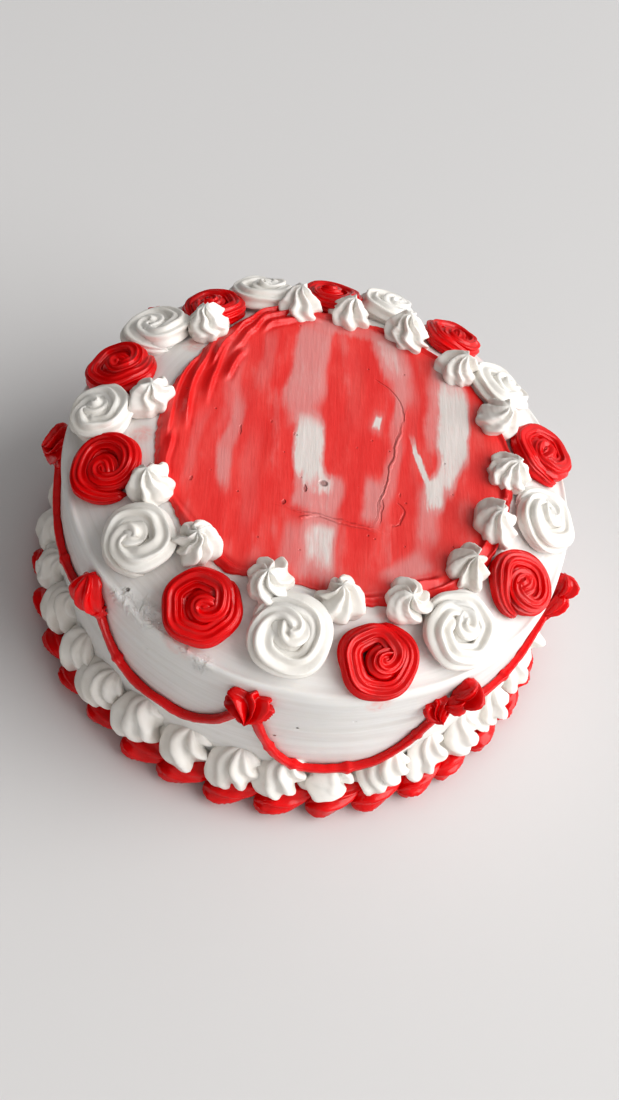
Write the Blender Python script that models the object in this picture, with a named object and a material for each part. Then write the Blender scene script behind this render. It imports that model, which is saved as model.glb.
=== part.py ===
# Round iced layer cake: white iced body, smear of red icing on the top, ring of piped rosettes
# and star drops, string swags with small roses round the side, and two shell borders at the foot.
# Metres, +Z up. The origin is the centre of the underside.
import math

import bmesh
import bpy
from mathutils import Matrix, Vector

# Body of the cake: an 8 inch round with about 5 mm of icing
CAKE_RADIUS = 0.1050
CAKE_HEIGHT = 0.0975
FLAT_RADIUS = 0.066  # the flat top starts to bend down here
BEND_RADIUS = 0.080  # the straight slope of the shoulder starts here
EDGE_RADIUS = 0.1015  # the shoulder rounds over into the side from here
SHOULDER_SLOPE = 0.46  # fall of the shoulder for each unit outwards
EDGE_DROP = 0.0050  # height of the rounded edge
BODY_SIDES = 60
GAP = 0.0004  # clearance between pieces that touch

# Rosettes, white and red in turn: azimuth in degrees, distance of the centre from the cake's axis,
# radius
ROSETTES = (
    (229, 0.0885, 0.0155),
    (252, 0.0885, 0.0162),
    (272.5, 0.0870, 0.0165),
    (294.5, 0.0930, 0.0165),
    (315.5, 0.0905, 0.0162),
    (337, 0.0920, 0.0155),
    (359.5, 0.0900, 0.0160),
    (20.5, 0.0910, 0.0160),
    (44.5, 0.0885, 0.0155),
    (64.5, 0.0915, 0.0155),
    (85, 0.0910, 0.0150),
    (102.5, 0.0885, 0.0150),
    (121.5, 0.0905, 0.0155),
    (138, 0.0880, 0.0150),
    (156, 0.0915, 0.0155),
    (172.5, 0.0905, 0.0160),
    (189, 0.0920, 0.0150),
    (206.5, 0.0885, 0.0160),
)
ROSETTE_HEIGHT = 0.0085
ROSETTE_COIL = 0.0078  # width of the piped rope, which sets the pitch of the spiral
ROSETTE_GROOVE = 0.0022  # depth of the groove between two turns
ROSETTE_SIDES = 16
ROSETTE_WALL = ((0.96, 0.0), (1.0, 0.34), (0.93, 0.66))  # share of radius, share of height
ROSETTE_TOP_RINGS = (0.74, 0.54, 0.34, 0.16)

# Star drops: azimuth in degrees, distance of the centre from the cake's axis
STAR_DROPS = (
    (216.5, 0.0750),
    (241, 0.0750),
    (264, 0.0720),
    (285.5, 0.0735),
    (305, 0.0765),
    (327, 0.0755),
    (347, 0.0730),
    (9.5, 0.0730),
    (31, 0.0745),
    (54.5, 0.0735),
    (75.5, 0.0745),
    (96.5, 0.0745),
    (113.5, 0.0755),
    (146, 0.0770),
    (183, 0.0745),
)
STAR_RADIUS = 0.0100
STAR_HEIGHT = 0.0145
STAR_LOBES = 7
LOBE_DEPTH = 0.27  # how far a valley between two lobes is cut in, as a share of the radius
LOBE_TWIST = math.radians(40)  # turn of the lobes from foot to peak
ROSE_LOBES = 6
DROP_ROWS = ((0.88, 0.0), (1.0, 0.20), (0.84, 0.48), (0.46, 0.76))  # share of radius, of height

# Swags: azimuth and height of each small rose, half its length and half its width, the turn of its
# length from the level in degrees, and how low the string to the next one hangs
SWAG_ROSES = (
    (230.5, 0.0750, 0.0105, 0.0080, -20.0, 0.044),
    (269.5, 0.0745, 0.0095, 0.0082, 0.0, 0.028),
    (312.0, 0.0730, 0.0122, 0.0088, 38.0, 0.055),
    (350.0, 0.0710, 0.0115, 0.0082, -10.0, 0.046),
    (31.0, 0.0730, 0.0095, 0.0085, 20.0, 0.044),
    (63.0, 0.0735, 0.0100, 0.0080, -15.0, 0.040),
    (104.0, 0.0730, 0.0095, 0.0085, 10.0, 0.042),
    (146.0, 0.0735, 0.0105, 0.0082, -25.0, 0.040),
    (189.0, 0.0710, 0.0095, 0.0085, 5.0, 0.058),
)
ROSE_HEIGHT = 0.0098
STRING_RADIUS = 0.0019
STRING_SIDES = 6
STRING_STATIONS = 13
STRING_SAG = 3.2  # power of the hanging curve: high is a flat belly with steep ends
STRING_WAVER = 0.10  # unevenness of the string's thickness
STRING_ROOM = 0.0012  # from a rose's outline to the end of a string's centre line

# Shell borders: share of the way along a shell, of its full width, of its full height
SHELL_STATIONS = (
    (0.00, 0.56, 0.70),
    (0.16, 0.91, 0.86),
    (0.42, 1.00, 1.00),
    (0.68, 0.93, 0.95),
    (0.88, 0.72, 0.80),
)
SHELL_HEAD = 0.42  # share of the way along a shell where it is widest
RED_SHELL_COUNT = 35
RED_SHELL_PHASE = 292.1  # azimuth of one shell's widest place, in degrees
RED_SHELL_WIDTH = 0.0140
RED_SHELL_HEIGHT = 0.0105
RED_SHELL_SECTION = ((0.0, 0.0), (0.74, 0.0), (1.0, 0.42), (0.82, 0.82), (0.45, 1.0), (0.0, 0.92))
WHITE_SHELL_COUNT = 33
WHITE_SHELL_PHASE = 290.5
WHITE_SHELL_WIDTH = 0.0108
WHITE_SHELL_HEIGHT = 0.0225
WHITE_SHELL_FOOT = 0.0110
WHITE_SHELL_SECTION = (
    (0.0, 0.0),
    (0.62, 0.0),
    (1.0, 0.26),
    (0.96, 0.52),
    (0.62, 0.80),
    (0.18, 1.0),
    (0.0, 1.0),
)

# Smear of red icing on the flat top
SMEAR_CENTRE = Vector((-0.001, 0.001))
SMEAR_RADIUS = 0.069
SMEAR_THICKNESS = 0.0016
SMEAR_SIDES = 60
SMEAR_RINGS = (0.45, 0.80, 0.92)  # share of the outline's radius
SMEAR_CLEARANCE = 0.0008  # from the foot of a drop or a rosette
CURB_HEIGHT = 0.0030  # ridges of icing pushed up by the spreading knife
CURB_AZIMUTH = 168.0
CURB_SPREAD = 42.0

WHITE_ICING = ("white_icing", (0.86, 0.84, 0.80), 0.50)
RED_ICING = ("red_icing", (0.66, 0.010, 0.012), 0.35)
SMEARED_ICING = ("smeared_icing", (0.72, 0.055, 0.045), 0.42)


def start_scene():
    """Removes what the scene holds and adds the empty that carries every piece."""
    for obj in list(bpy.data.objects):
        bpy.data.objects.remove(obj)
    bpy.context.scene.collection.objects.link(bpy.data.objects.new("layer_cake", None))


def icing(kind):
    name, colour, roughness = kind
    material = bpy.data.materials.get(name)
    if material is None:
        material = bpy.data.materials.new(name)
        material.use_nodes = True
        shader = material.node_tree.nodes["Principled BSDF"]
        shader.inputs["Base Color"].default_value = (*colour, 1.0)
        shader.inputs["Roughness"].default_value = roughness
        shader.inputs["Metallic"].default_value = 0.0
    return material


def add_object(name, bm, kind, seat=Matrix()):
    """Makes an object of a mesh in the cake's frame, with its own axes on its seat."""
    bmesh.ops.recalc_face_normals(bm, faces=bm.faces)
    bm.transform(seat.inverted())
    mesh = bpy.data.meshes.new(name)
    bm.to_mesh(mesh)
    bm.free()
    mesh.materials.append(icing(kind))
    mesh.shade_smooth()
    mesh.set_sharp_from_angle(angle=math.radians(50))
    obj = bpy.data.objects.new(name, mesh)
    bpy.context.scene.collection.objects.link(obj)
    obj.parent = bpy.data.objects["layer_cake"]
    obj.matrix_world = seat


def ring_edges(bm, ring):
    return [bm.edges.get((a, b)) for a, b in zip(ring, ring[1:] + ring[:1])]


def first_ring(bm, places):
    """A closed ring of vertices, made as a circle and moved to its places."""
    ring = bmesh.ops.create_circle(bm, segments=len(places), radius=1.0)["verts"]
    for vertex, place in zip(ring, places):
        vertex.co = place
    return ring


def next_ring(bm, ring, places):
    """Extrudes a ring of vertices and moves the new one to its places."""
    made = set(bmesh.ops.extrude_edge_only(bm, edges=ring_edges(bm, ring))["geom"])
    grown = [next(e.other_vert(v) for e in v.link_edges if e.other_vert(v) in made) for v in ring]
    for vertex, place in zip(grown, places):
        vertex.co = place
    return grown


def stacked(rings, peak=None):
    """A closed body through a pile of rings, shut by faces or drawn to a peak."""
    bm = bmesh.new()
    ring = first_ring(bm, rings[0])
    bm.faces.new(ring)
    for places in rings[1:]:
        ring = next_ring(bm, ring, places)
    if peak is None:
        bm.faces.new(ring)
    else:
        ring = next_ring(bm, ring, [peak] * len(ring))
        bmesh.ops.pointmerge(bm, verts=ring, merge_co=peak)
    return bm


def polar(radius, degrees, z=0.0):
    angle = math.radians(degrees)
    return Vector((radius * math.cos(angle), radius * math.sin(angle), z))


def top_height(radius):
    """Height of the iced top and shoulder at this distance from the axis."""
    bend = min(max(radius - FLAT_RADIUS, 0.0), BEND_RADIUS - FLAT_RADIUS)
    straight = max(radius - BEND_RADIUS, 0.0)
    return CAKE_HEIGHT - SHOULDER_SLOPE * (bend**2 / (2 * (BEND_RADIUS - FLAT_RADIUS)) + straight)


def top_slope(radius):
    """Angle of the iced top and shoulder at this distance from the axis."""
    share = min(max(radius - FLAT_RADIUS, 0.0) / (BEND_RADIUS - FLAT_RADIUS), 1.0)
    return math.atan(SHOULDER_SLOPE * share)


def seat_on_top(degrees, radius):
    """Local Z along the icing's normal, local X outwards and down the slope."""
    place = polar(radius, degrees, top_height(radius) + GAP)
    turn = Matrix.Rotation(math.radians(degrees), 4, "Z")
    return Matrix.Translation(place) @ turn @ Matrix.Rotation(top_slope(radius), 4, "Y")


def seat_on_side(degrees, z):
    """Local Z straight out of the side, local X down it."""
    place = polar(CAKE_RADIUS + GAP, degrees, z)
    turn = Matrix.Rotation(math.radians(degrees), 4, "Z")
    return Matrix.Translation(place) @ turn @ Matrix.Rotation(math.pi / 2, 4, "Y")


def footprints():
    """(centre in plan, radius) of every rosette and star drop."""
    rosettes = [(polar(distance, degrees), radius) for degrees, distance, radius in ROSETTES]
    drops = [(polar(distance, degrees), STAR_RADIUS) for degrees, distance in STAR_DROPS]
    return rosettes + drops


def parting_planes(centre, radius):
    """Upright planes between a piped piece and the neighbours that it is pressed against."""
    planes = []
    for other, other_radius in footprints():
        across = other - centre
        distance = across.length
        if distance < GAP or distance > radius + other_radius + GAP:
            continue
        reach = (distance**2 + radius**2 - other_radius**2) / (2 * distance) - GAP / 2
        normal = across.normalized()
        planes.append((normal, normal.dot(centre) + reach))
    return planes


def pressed(point, planes):
    """The point, moved back to the near side of every plane."""
    moved = point.copy()
    for _ in range(4):
        for normal, limit in planes:
            beyond = normal.dot(moved) - limit
            if beyond > 0:
                moved -= normal * beyond
    return moved


def make_body():
    edge_z = top_height(EDGE_RADIUS)
    rounding = CAKE_RADIUS - EDGE_RADIUS
    profile = [
        (0.0, 0.0),
        (CAKE_RADIUS, 0.0),
        (CAKE_RADIUS, edge_z - EDGE_DROP),
        (CAKE_RADIUS - 0.12 * rounding, edge_z - 0.52 * EDGE_DROP),
        (CAKE_RADIUS - 0.45 * rounding, edge_z - 0.17 * EDGE_DROP),
        (EDGE_RADIUS, edge_z),
        (BEND_RADIUS, top_height(BEND_RADIUS)),
        ((BEND_RADIUS + FLAT_RADIUS) / 2, top_height((BEND_RADIUS + FLAT_RADIUS) / 2)),
        (FLAT_RADIUS, CAKE_HEIGHT),
        (0.0, CAKE_HEIGHT),
    ]
    bm = bmesh.new()
    line = [bm.verts.new((r, 0.0, z)) for r, z in profile]
    edges = [bm.edges.new(pair) for pair in zip(line, line[1:])]
    bmesh.ops.spin(
        bm, geom=line + edges, axis=(0, 0, 1), cent=(0, 0, 0), steps=BODY_SIDES, angle=math.tau
    )
    bmesh.ops.remove_doubles(bm, verts=bm.verts, dist=1e-5)
    add_object("iced_cake", bm, WHITE_ICING)


def rosette_top(share, angle, radius):
    """Height of a rosette's coiled top, at a share of its radius and an angle round it."""
    dome = 0.82 + 0.18 * (1 - share**2)
    turns = share * radius / ROSETTE_COIL - angle / math.tau
    return ROSETTE_HEIGHT * dome - ROSETTE_GROOVE * (0.5 + 0.5 * math.cos(math.tau * turns))


def make_rosette(number, degrees, distance, radius):
    """A rope of icing coiled outwards, with a spiral groove between its turns."""
    seat = seat_on_top(degrees, distance)
    planes = parting_planes(polar(distance, degrees), radius)
    angles = [math.tau * k / ROSETTE_SIDES for k in range(ROSETTE_SIDES)]
    rows = [[(share, height * ROSETTE_HEIGHT) for _ in angles] for share, height in ROSETTE_WALL]
    rows += [[(share, rosette_top(share, a, radius)) for a in angles] for share in ROSETTE_TOP_RINGS]
    rings = []
    for row in rows:
        ring = []
        for (share, height), angle in zip(row, angles):
            across = share * radius
            point = seat @ Vector((across * math.cos(angle), across * math.sin(angle), height))
            ring.append(pressed(point, planes))
        rings.append(ring)
    peak = seat @ Vector((0, 0, rosette_top(0.0, math.pi / 2, radius)))
    kind = WHITE_ICING if number % 2 else RED_ICING
    colour = "white" if number % 2 else "red"
    add_object(f"rosette_{colour}_{number:02d}", stacked(rings, peak), kind, seat)


def drop_rings(seat, radius, height, lobes, planes):
    """Rings of a lobed drop that narrows to a twisted peak."""
    rings = []
    for share, rise in DROP_ROWS:
        ring = []
        for k in range(2 * lobes):
            angle = math.pi * k / lobes + LOBE_TWIST * rise
            across = radius * share * (1 - LOBE_DEPTH * (k % 2))
            point = Vector((across * math.cos(angle), across * math.sin(angle), height * rise))
            ring.append(pressed(seat @ point, planes))
        rings.append(ring)
    return rings


def make_star_drop(number, degrees, distance):
    seat = seat_on_top(degrees, distance)
    planes = parting_planes(polar(distance, degrees), STAR_RADIUS)
    rings = drop_rings(seat, STAR_RADIUS, STAR_HEIGHT, STAR_LOBES, planes)
    peak = seat @ Vector((0, 0, STAR_HEIGHT))
    add_object(f"star_drop_{number:02d}", stacked(rings, peak), WHITE_ICING, seat)


def make_swag_rose(number, degrees, z, half_length, half_width, turn):
    """A lobed drop on the side, longer than wide, with its peak pulled down."""
    lean = Matrix.Rotation(math.radians(turn), 4, "Z")
    longer = Matrix.Diagonal((half_width, half_length, 1.0, 1.0))
    seat = seat_on_side(degrees, z)
    rings = drop_rings(seat @ lean @ longer, 1.0, ROSE_HEIGHT, ROSE_LOBES, [])
    peak = seat @ Vector((0.30 * half_width, 0, ROSE_HEIGHT))
    add_object(f"swag_rose_{number}", stacked(rings, peak), RED_ICING, seat)


def rose_reach(index, bearing):
    """Distance from a rose's centre to its outline, in a bearing on the side from straight down."""
    _, _, half_length, half_width, turn, _ = SWAG_ROSES[index % len(SWAG_ROSES)]
    off = bearing - math.radians(turn)
    return 1 / math.hypot(math.cos(off) / half_width, math.sin(off) / half_length)


def swag_ends(index):
    """Azimuths of the two roses that a string hangs between, in rising order."""
    start = SWAG_ROSES[index][0]
    end = SWAG_ROSES[(index + 1) % len(SWAG_ROSES)][0]
    return start, end + (360.0 if end < start else 0.0)


def swag_z(index, degrees):
    """Height of a string's centre line at an azimuth between its roses."""
    start, end = swag_ends(index)
    share = 2 * (degrees - start) / (end - start) - 1
    nearer = SWAG_ROSES[index if share < 0 else (index + 1) % len(SWAG_ROSES)]
    low = SWAG_ROSES[index][5]
    return low + (nearer[1] - low) * abs(share) ** STRING_SAG


def string_clear(index, from_end):
    """Share of the way along a string where it comes clear of the rose at one of its ends."""
    start, end = swag_ends(index)
    rose = (index + from_end) % len(SWAG_ROSES)
    share = 0.0
    while share < 0.5:
        share += 0.004
        degrees = start + (1 - share if from_end else share) * (end - start)
        along = CAKE_RADIUS * math.radians(degrees - (end if from_end else start))
        fall = SWAG_ROSES[rose][1] - swag_z(index, degrees)
        if math.hypot(along, fall) > rose_reach(rose, math.atan2(along, fall)) + STRING_ROOM:
            break
    return share


def make_string(index):
    """A thin rope of icing that hangs in a curve against the side."""
    start, end = swag_ends(index)
    first = string_clear(index, False)
    last = 1 - string_clear(index, True)
    centre_radius = CAKE_RADIUS + GAP + STRING_RADIUS * (1 + STRING_WAVER)
    line = []
    for k in range(STRING_STATIONS):
        share = first + (last - first) * k / (STRING_STATIONS - 1)
        degrees = start + share * (end - start)
        line.append((polar(centre_radius, degrees, swag_z(index, degrees)), polar(1.0, degrees)))
    rings = []
    for k, (place, outward) in enumerate(line):
        before = line[max(k - 1, 0)][0]
        after = line[min(k + 1, len(line) - 1)][0]
        across = outward.cross(after - before).normalized()
        radius = STRING_RADIUS * (1 + STRING_WAVER * math.sin(2.3 * k + 1.7 * index))
        ring = []
        for side in range(STRING_SIDES):
            angle = math.tau * (side + 0.5) / STRING_SIDES
            ring.append(place + radius * (outward * math.cos(angle) + across * math.sin(angle)))
        rings.append(ring)
    add_object(f"swag_string_{index + 1}", stacked(rings), RED_ICING)


def under_strings(degrees):
    """Greatest height that a border may have at an azimuth and stay under the strings."""
    limit = CAKE_HEIGHT
    for index in range(len(SWAG_ROSES)):
        start, end = swag_ends(index)
        for turn in (0.0, 360.0):
            if start <= degrees % 360.0 + turn <= end:
                limit = min(limit, swag_z(index, degrees % 360.0 + turn))
    return limit - STRING_RADIUS * (1 + STRING_WAVER) - 2 * GAP


def make_shell_border(name, kind, section, count, phase, width, height, foot):
    """A chain of piped shells round the foot: each swells quickly and tapers to a tail."""
    columns = []
    for shell in range(count):
        for share, swell, rise in SHELL_STATIONS:
            degrees = phase + 360.0 / count * (shell + share - SHELL_HEAD)
            wide = width * swell * (1 + 0.04 * math.sin(2.1 * shell))
            tall = height * rise * (1 - 0.05 * (1 + math.sin(1.7 * shell)))
            tall = min(tall, under_strings(degrees) - foot)
            column = []
            for out, up in section:
                column.append(polar(CAKE_RADIUS + GAP + wide * out, degrees, foot + tall * up))
            columns.append(column)
    bm = bmesh.new()
    first = first_ring(bm, columns[0])
    ring = first
    for column in columns[1:]:
        ring = next_ring(bm, ring, column)
    bmesh.ops.bridge_loops(bm, edges=ring_edges(bm, ring) + ring_edges(bm, first))
    add_object(name, bm, kind)


def smear_outline(angle):
    """Radius of the smear's outline about its centre: uneven, and kept off the piped pieces."""
    uneven = 1 + 0.030 * math.sin(2 * angle + 0.6) + 0.020 * math.sin(5 * angle + 2.0)
    reach = SMEAR_RADIUS * uneven
    ray = Vector((math.cos(angle), math.sin(angle)))
    for centre, radius in footprints():
        offset = centre.to_2d() - SMEAR_CENTRE
        along = offset.dot(ray)
        aside = (offset - along * ray).length
        clear = radius + SMEAR_CLEARANCE
        if along > 0 and aside < clear:
            reach = min(reach, along - math.sqrt(clear**2 - aside**2))
    return reach


def curb(share, angle):
    """Extra height of the ridged curb at the smear's left edge."""
    off = (math.degrees(angle) - CURB_AZIMUTH + 180.0) % 360.0 - 180.0
    along = max(0.0, 1 - (off / CURB_SPREAD) ** 2)
    return CURB_HEIGHT * along * max(0.0, 1 - abs(share - 0.88) / 0.14)


def make_smear():
    angles = [math.tau * (k + 0.5) / SMEAR_SIDES for k in range(SMEAR_SIDES)]
    reaches = [smear_outline(angle) for angle in angles]

    def places(share, lift):
        ring = []
        for angle, reach in zip(angles, reaches):
            flat = SMEAR_CENTRE + share * reach * Vector((math.cos(angle), math.sin(angle)))
            extra = curb(share, angle) if lift > GAP else 0.0
            ring.append(Vector((*flat, top_height(flat.length) + lift + extra)))
        return ring

    rings = [places(0.90, GAP), places(1.0, GAP), places(0.985, SMEAR_THICKNESS)]
    rings += [places(share, SMEAR_THICKNESS) for share in reversed(SMEAR_RINGS)]
    peak = Vector((*SMEAR_CENTRE, CAKE_HEIGHT + SMEAR_THICKNESS))
    add_object("red_smear", stacked(rings, peak), SMEARED_ICING)


def main():
    start_scene()
    make_body()
    make_smear()
    for number, (degrees, distance, radius) in enumerate(ROSETTES, 1):
        make_rosette(number, degrees, distance, radius)
    for number, (degrees, distance) in enumerate(STAR_DROPS, 1):
        make_star_drop(number, degrees, distance)
    for index, rose in enumerate(SWAG_ROSES):
        make_swag_rose(index + 1, *rose[:5])
        make_string(index)
    make_shell_border(
        "shells_red",
        RED_ICING,
        RED_SHELL_SECTION,
        RED_SHELL_COUNT,
        RED_SHELL_PHASE,
        RED_SHELL_WIDTH,
        RED_SHELL_HEIGHT,
        0.0,
    )
    make_shell_border(
        "shells_white",
        WHITE_ICING,
        WHITE_SHELL_SECTION,
        WHITE_SHELL_COUNT,
        WHITE_SHELL_PHASE,
        WHITE_SHELL_WIDTH,
        WHITE_SHELL_HEIGHT,
        WHITE_SHELL_FOOT,
    )


main()
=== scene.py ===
import math

import bmesh
import bpy
from mathutils import Matrix, Vector, noise


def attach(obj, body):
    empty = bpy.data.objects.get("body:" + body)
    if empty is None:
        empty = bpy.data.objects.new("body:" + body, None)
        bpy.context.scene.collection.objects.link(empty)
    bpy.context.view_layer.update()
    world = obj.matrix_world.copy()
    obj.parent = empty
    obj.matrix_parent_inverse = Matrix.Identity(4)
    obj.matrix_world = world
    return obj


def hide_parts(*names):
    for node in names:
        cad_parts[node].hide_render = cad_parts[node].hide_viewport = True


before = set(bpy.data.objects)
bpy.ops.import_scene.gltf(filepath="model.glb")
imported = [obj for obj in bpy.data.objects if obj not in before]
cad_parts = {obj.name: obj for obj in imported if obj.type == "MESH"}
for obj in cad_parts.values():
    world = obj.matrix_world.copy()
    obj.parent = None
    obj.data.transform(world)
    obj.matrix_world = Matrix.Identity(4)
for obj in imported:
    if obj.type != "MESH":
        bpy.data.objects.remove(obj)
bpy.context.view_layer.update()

# camera, as the photo was taken: from above the front, rolled a little
cameraView = {
    "place": (0.0, -0.2991146, 0.4482582),
    "yaw": 0.0142997,
    "pitch": 0.9537222,  # below the horizon
    "roll": 0.3014753,
    "focal": 1150.0,  # in pixels of the photo
    "longSide": 1100.0,
}


def addCamera():
    v = cameraView
    forward = Vector((math.sin(v["yaw"]) * math.cos(v["pitch"]),
                      math.cos(v["yaw"]) * math.cos(v["pitch"]), -math.sin(v["pitch"])))
    right = forward.cross(Vector((0, 0, 1))).normalized()
    up = right.cross(forward)
    side = right * math.cos(v["roll"]) + up * math.sin(v["roll"])
    top = up * math.cos(v["roll"]) - right * math.sin(v["roll"])
    lens = bpy.data.cameras.new("camera")
    lens.sensor_width = 36.0
    lens.lens = v["focal"] / v["longSide"] * lens.sensor_width
    camera = bpy.data.objects.new("camera", lens)
    turned = Matrix((side, top, -forward)).transposed().to_4x4()
    camera.matrix_world = Matrix.Translation(v["place"]) @ turned
    bpy.context.scene.collection.objects.link(camera)
    bpy.context.scene.camera = camera


addCamera()
print("camera set")

# cake body in metres, the same sizes as the solids
cake = {
    "radius": 0.1050,
    "height": 0.0975,
    "flatRadius": 0.066,  # the flat top starts to bend down here
    "bendRadius": 0.080,  # the straight slope of the shoulder starts here
    "edgeRadius": 0.1015,  # the shoulder rounds over into the side from here
    "slope": 0.46,
    "edgeDrop": 0.0050,  # height of the rounded edge
}

# pressed in towards the middle, up to 3 mm further than the solids
rosettes = (  # azimuth, distance from the axis, radius; white and red in turn
    (228.8, 0.0868, 0.0155), (252, 0.0868, 0.0162), (272.5, 0.0853, 0.0165), (295, 0.0905, 0.0165),
    (316, 0.0885, 0.0162), (337.7, 0.0903, 0.0155), (0, 0.0886, 0.0160), (21.5, 0.0905, 0.0160),
    (45, 0.0878, 0.0155), (65.3, 0.0930, 0.0155), (85, 0.0925, 0.0150), (102.5, 0.0878, 0.0150),
    (121, 0.0913, 0.0155), (138, 0.0866, 0.0150), (155, 0.0911, 0.0155), (171.6, 0.0898, 0.0160),
    (188.2, 0.0907, 0.0150), (206.2, 0.0870, 0.0160),
)
starDrops = (  # azimuth, distance from the axis
    (215.8, 0.0735), (240.3, 0.0728), (264, 0.0705), (285.8, 0.0718), (305.5, 0.0742), (327.8, 0.0736),
    (347.8, 0.0718), (10, 0.0724), (32.2, 0.0742), (55.2, 0.0732), (75.7, 0.0746), (96.2, 0.0746),
    (112.8, 0.0762), (144.8, 0.0767), (182.1, 0.0733),
)
swagRoses = (  # azimuth, height, half length, half width, turn, low point of the string to the next
    (230.5, 0.0750, 0.0105, 0.0080, -20.0, 0.044), (269.5, 0.0745, 0.0095, 0.0082, 0.0, 0.028),
    (312.0, 0.0730, 0.0122, 0.0088, 38.0, 0.055), (350.0, 0.0710, 0.0115, 0.0082, -10.0, 0.046),
    (31.0, 0.0730, 0.0095, 0.0085, 20.0, 0.044), (63.0, 0.0735, 0.0100, 0.0080, -15.0, 0.040),
    (104.0, 0.0730, 0.0095, 0.0085, 10.0, 0.042), (146.0, 0.0735, 0.0105, 0.0082, -25.0, 0.040),
    (189.0, 0.0710, 0.0095, 0.0085, 5.0, 0.058),
)


def polar(radius, degrees, z=0.0):
    angle = math.radians(degrees)
    return Vector((radius * math.cos(angle), radius * math.sin(angle), z))


def ease(share):
    share = min(max(share, 0.0), 1.0)
    return share * share * (3 - 2 * share)


def waver(seed, t, rate=1.0):
    # smooth unevenness between about -1 and 1, the same each run
    return noise.noise(Vector((t * rate, seed * 7.31, seed * 1.7))) * 1.6


def topHeight(radius):
    flat, bend = cake["flatRadius"], cake["bendRadius"]
    bent = min(max(radius - flat, 0.0), bend - flat)
    straight = max(radius - bend, 0.0)
    return cake["height"] - cake["slope"] * (bent**2 / (2 * (bend - flat)) + straight)


def topSlope(radius):
    flat, bend = cake["flatRadius"], cake["bendRadius"]
    return math.atan(cake["slope"] * min(max(radius - flat, 0.0) / (bend - flat), 1.0))


def seatOnTop(degrees, radius):
    # local Z along the icing's normal, local X outwards and down the slope
    turn = Matrix.Rotation(math.radians(degrees), 4, "Z") @ Matrix.Rotation(topSlope(radius), 4, "Y")
    return Matrix.Translation(polar(radius, degrees, topHeight(radius))) @ turn


def seatOnSide(degrees, z):
    # local Z straight out of the side, local X down it, local Y to greater azimuths
    turn = Matrix.Rotation(math.radians(degrees), 4, "Z") @ Matrix.Rotation(math.pi / 2, 4, "Y")
    return Matrix.Translation(polar(cake["radius"], degrees, z)) @ turn


def ringAround(centre, east, north, sizes):
    # one ring of a pipe: a point for each size, evenly turned from east towards north
    count = len(sizes)
    return [centre + (east * math.cos(math.tau * k / count) + north * math.sin(math.tau * k / count)) * size
            for k, size in enumerate(sizes)]


def pipe(bm, rings, first, last):
    # a straight tube drawn out in one go, then its rings moved into place and both ends drawn to a point
    count = len(rings[0])
    start = bmesh.ops.create_circle(bm, segments=count, radius=1.0)["verts"]
    edges = list({edge for vert in start for edge in vert.link_edges})
    bmesh.ops.spin(bm, geom=start + edges, axis=(0, 0, 1), cent=(0, 0, 0), dvec=(0, 0, 1), angle=0.0,
                   steps=len(rings) + 1)
    ends = ([], [])
    for vert in bm.verts:
        row = round(vert.co.z)
        place = round(math.atan2(vert.co.y, vert.co.x) / math.tau * count) % count
        if 0 < row <= len(rings):
            vert.co = rings[row - 1][place]
        else:
            ends[row > 0].append(vert)
    bmesh.ops.pointmerge(bm, verts=ends[0], merge_co=first)
    bmesh.ops.pointmerge(bm, verts=ends[1], merge_co=last)


def addPipe(bm, rings, first, last):
    # the same, as one more part of a piece that already has some
    part = bmesh.new()
    pipe(part, rings, first, last)
    mesh = bpy.data.meshes.new("part")
    part.to_mesh(mesh)
    part.free()
    bm.from_mesh(mesh)
    bpy.data.meshes.remove(mesh)


def finishPiece(name, bm, material, *nodes, slot=None):
    bmesh.ops.recalc_face_normals(bm, faces=bm.faces)
    mesh = bpy.data.meshes.new(name)
    bm.to_mesh(mesh)
    bm.free()
    mesh.materials.append(material)
    mesh.shade_smooth()
    piece = bpy.data.objects.new(name, mesh)
    bpy.context.scene.collection.objects.link(piece)
    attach(piece, "root")
    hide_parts(*nodes)
    return piece


def crested(count, star, turn, seed, deeper=1.0):
    # share of the radius round a section from a star nozzle: crests with hollows between, none quite alike
    shares = []
    for k in range(count):
        angle = math.tau * k / count + turn
        east, north = 1.5 * math.cos(angle), 1.5 * math.sin(angle)
        shifted = angle + 0.22 * noise.noise(Vector((east, seed + 9.5, north)))
        hollow = (0.5 - 0.5 * math.cos(star["lobes"] * shifted)) ** star["sharp"]
        patchy = 1 + star["patchy"] * noise.noise(Vector((east, north, seed)))
        depth = star["depth"] * deeper * patchy
        shares.append(1 + star["uneven"] * noise.noise(Vector((north, seed, east))) - depth * hollow)
    return shares


def along(stations, t):
    # smooth value through a short list of (share, value) pairs
    for (a, low), (b, high) in zip(stations, stations[1:]):
        if t <= b:
            part = (t - a) / (b - a)
            return low + (high - low) * (ease(part) + part) / 2
    return stations[-1][1]


# materials
def newMaterial(name, colour, roughness, **sockets):
    material = bpy.data.materials.new(name)
    material.use_nodes = True
    shader = material.node_tree.nodes["Principled BSDF"]
    shader.inputs["Base Color"].default_value = (*colour, 1.0)
    shader.inputs["Roughness"].default_value = roughness
    for socket, value in sockets.items():
        shader.inputs[socket].default_value = value
    return material, material.node_tree, shader


def addNode(tree, kind, inputs=None, **settings):
    node = tree.nodes.new(kind)
    for key, value in settings.items():
        setattr(node, key, value)
    for key, value in (inputs or {}).items():
        if isinstance(value, bpy.types.NodeSocket):
            tree.links.new(value, node.inputs[key])
        else:
            node.inputs[key].default_value = value
    return node


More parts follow.
